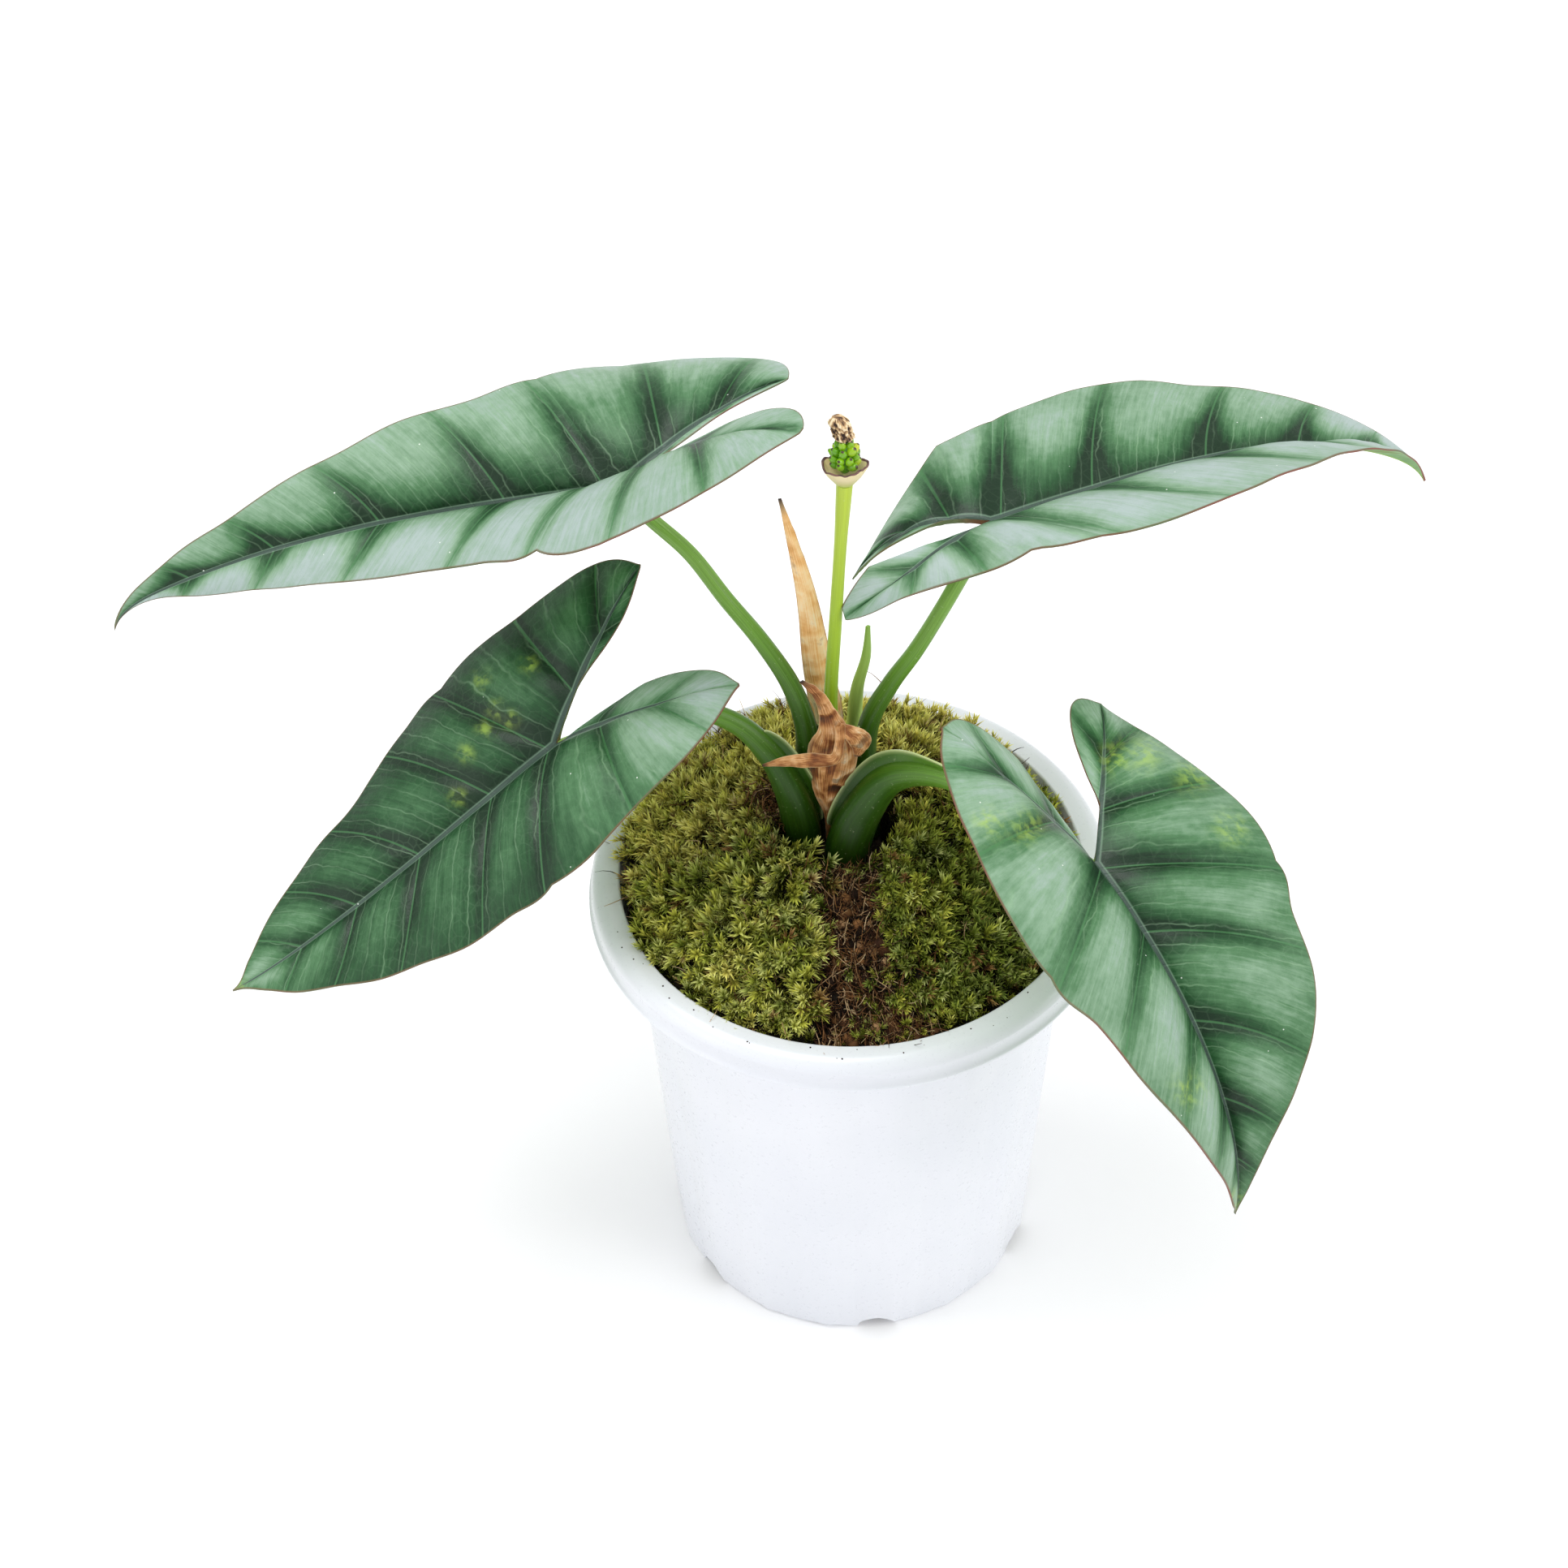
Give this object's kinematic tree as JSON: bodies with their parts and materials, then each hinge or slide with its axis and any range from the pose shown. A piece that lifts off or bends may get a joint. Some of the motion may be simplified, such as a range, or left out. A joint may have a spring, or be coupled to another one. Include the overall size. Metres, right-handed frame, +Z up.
{
  "type": "potted alocasia reversa",
  "caption": "Small jewel alocasia in a white nursery pot: arrow-shaped dark green leaves with a silvery sheen, a cut flower stalk with green berries, dry bracts and a moss bed.",
  "frame": {"origin": "middle of the pot's flat underside, on the surface it stands on", "axes": "+Z up along the pot's axis; +X to the right and +Y away as the plant is seen from its front"},
  "size_m": [0.325, 0.1776, 0.2708],
  "materials": {
    "pot_plastic": "satin white moulded polypropylene",
    "potting_mix": "damp dark peat and bark crumb",
    "peat_fibre": "matt brown fibrous peat and old leaf bases",
    "moss": "matt feathery moss",
    "petiole": "smooth fleshy stalk with a satin skin",
    "leaf_blade": "leathery blade with a soft metallic sheen",
    "flower_stalk": "smooth pale green stalk",
    "spathe": "cream flesh with a dried brown rim",
    "berry": "glossy unripe berry skin",
    "spadix": "dry wrinkled corky tissue",
    "dry_bract": "thin papery dried bract with lengthwise veins",
    "green_bract": "soft young bract with a satin skin"
  },
  "bodies": {
    "root": {"pot": "pot_plastic", "potting_mix": "potting_mix", "crown_stem": "peat_fibre", "moss_front_left": "moss", "moss_peat_ridge": "peat_fibre", "moss_front_right": "moss", "moss_right": "moss", "moss_back": "moss", "moss_left": "moss", "petiole_back_left": "petiole", "blade_back_left": "leaf_blade", "petiole_front_left": "petiole", "blade_front_left": "leaf_blade", "petiole_back_right": "petiole", "blade_back_right": "leaf_blade", "petiole_front_right": "petiole", "blade_front_right": "leaf_blade", "flower_stalk": "flower_stalk", "spathe_cup": "spathe", "berries": "berry", "spadix_stub": "spadix", "bract_dry_tall": "dry_bract", "bract_dry_collar": "dry_bract", "bract_green": "green_bract"}
  },
  "joints": []
}
